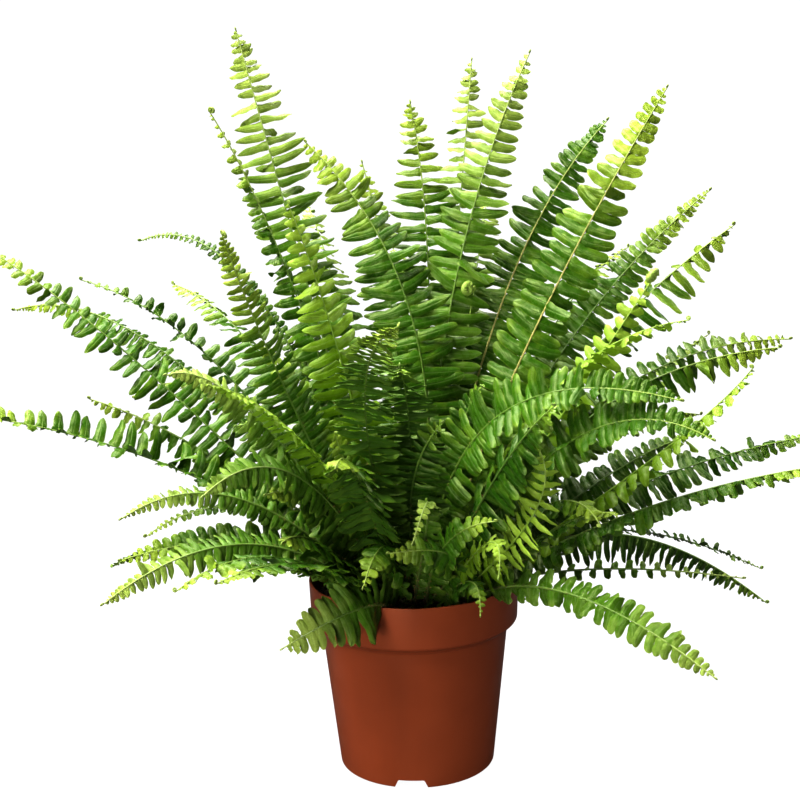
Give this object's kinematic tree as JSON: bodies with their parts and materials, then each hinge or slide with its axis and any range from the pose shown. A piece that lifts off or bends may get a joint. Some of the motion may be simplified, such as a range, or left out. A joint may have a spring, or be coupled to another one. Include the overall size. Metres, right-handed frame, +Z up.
{
  "type": "potted fern",
  "caption": "Bushy sword fern with long arching fronds of paired leaflets, growing in a tapered round plastic nursery pot filled with soil.",
  "frame": {"origin": "middle of the pot's foot on the surface it stands on, which is also the middle of the plant's spread seen from above", "axes": "+Z up; -Y is the side seen in the usual front view; X runs along the plant's widest spread"},
  "size_m": [0.5701, 0.4503, 0.4901],
  "materials": {
    "pot": "satin moulded terracotta-coloured plastic",
    "soil": "rough, dark peat soil with fibres",
    "leaf_deep": "satin, old deep green leaf",
    "leaf_mid": "satin, mid green leaf",
    "leaf_fresh": "satin, fresh green leaf",
    "leaf_young": "satin, young yellow-green leaf"
  },
  "bodies": {
    "root": {"pot": "pot", "soil": "soil", "frond_arch_left": "leaf_fresh", "frond_arch_left_front": "leaf_fresh", "frond_arch_right": "leaf_mid", "frond_arch_right_high": "leaf_deep", "frond_back_centre": "leaf_mid", "frond_back_droop_centre": "leaf_mid", "frond_back_droop_right": "leaf_deep", "frond_back_inner_left": "leaf_fresh", "frond_back_inner_right": "leaf_fresh", "frond_back_left": "leaf_mid", "frond_back_right": "leaf_mid", "frond_behind_mid_left": "leaf_mid", "frond_broad_dark_right": "leaf_deep", "frond_broad_mid_left": "leaf_mid", "frond_broad_right": "leaf_mid", "frond_broad_right_front": "leaf_mid", "frond_crozier_centre": "leaf_young", "frond_curl_right": "leaf_young", "frond_dark_right": "leaf_deep", "frond_droop_left": "leaf_fresh", "frond_droop_left_front": "leaf_mid", "frond_droop_left_near": "leaf_mid", "frond_droop_right": "leaf_fresh", "frond_edge_left": "leaf_mid", "frond_front_centre": "leaf_mid", "frond_front_centre_right": "leaf_deep", "frond_front_low_left": "leaf_mid", "frond_lean_front_left": "leaf_mid", "frond_long_right": "leaf_deep", "frond_long_right_front": "leaf_mid", "frond_low_front_right": "leaf_mid", "frond_low_left": "leaf_fresh", "frond_low_right": "leaf_deep", "frond_over_rim_left": "leaf_fresh", "frond_peek_left": "leaf_fresh", "frond_reach_left_back": "leaf_mid", "frond_reach_left_high": "leaf_mid", "frond_reach_left_low": "leaf_mid", "frond_reach_right": "leaf_mid", "frond_reach_right_high": "leaf_mid", "frond_reach_right_second": "leaf_mid", "frond_reach_right_third": "leaf_fresh", "frond_second_left_low": "leaf_mid", "frond_small_front": "leaf_young", "frond_small_light_centre": "leaf_fresh", "frond_small_right": "leaf_mid", "frond_spaced_right": "leaf_mid", "frond_sweep_left_back": "leaf_deep", "frond_tall_centre": "leaf_mid", "frond_tall_far_left": "leaf_fresh", "frond_tall_right": "leaf_fresh", "frond_tall_right_back": "leaf_fresh", "frond_thin_back_left": "leaf_deep", "frond_yellow_left": "leaf_young", "frond_yellow_right": "leaf_young", "frond_young_front_right": "leaf_young", "frond_young_left": "leaf_young", "frond_young_right": "leaf_young"}
  },
  "joints": []
}
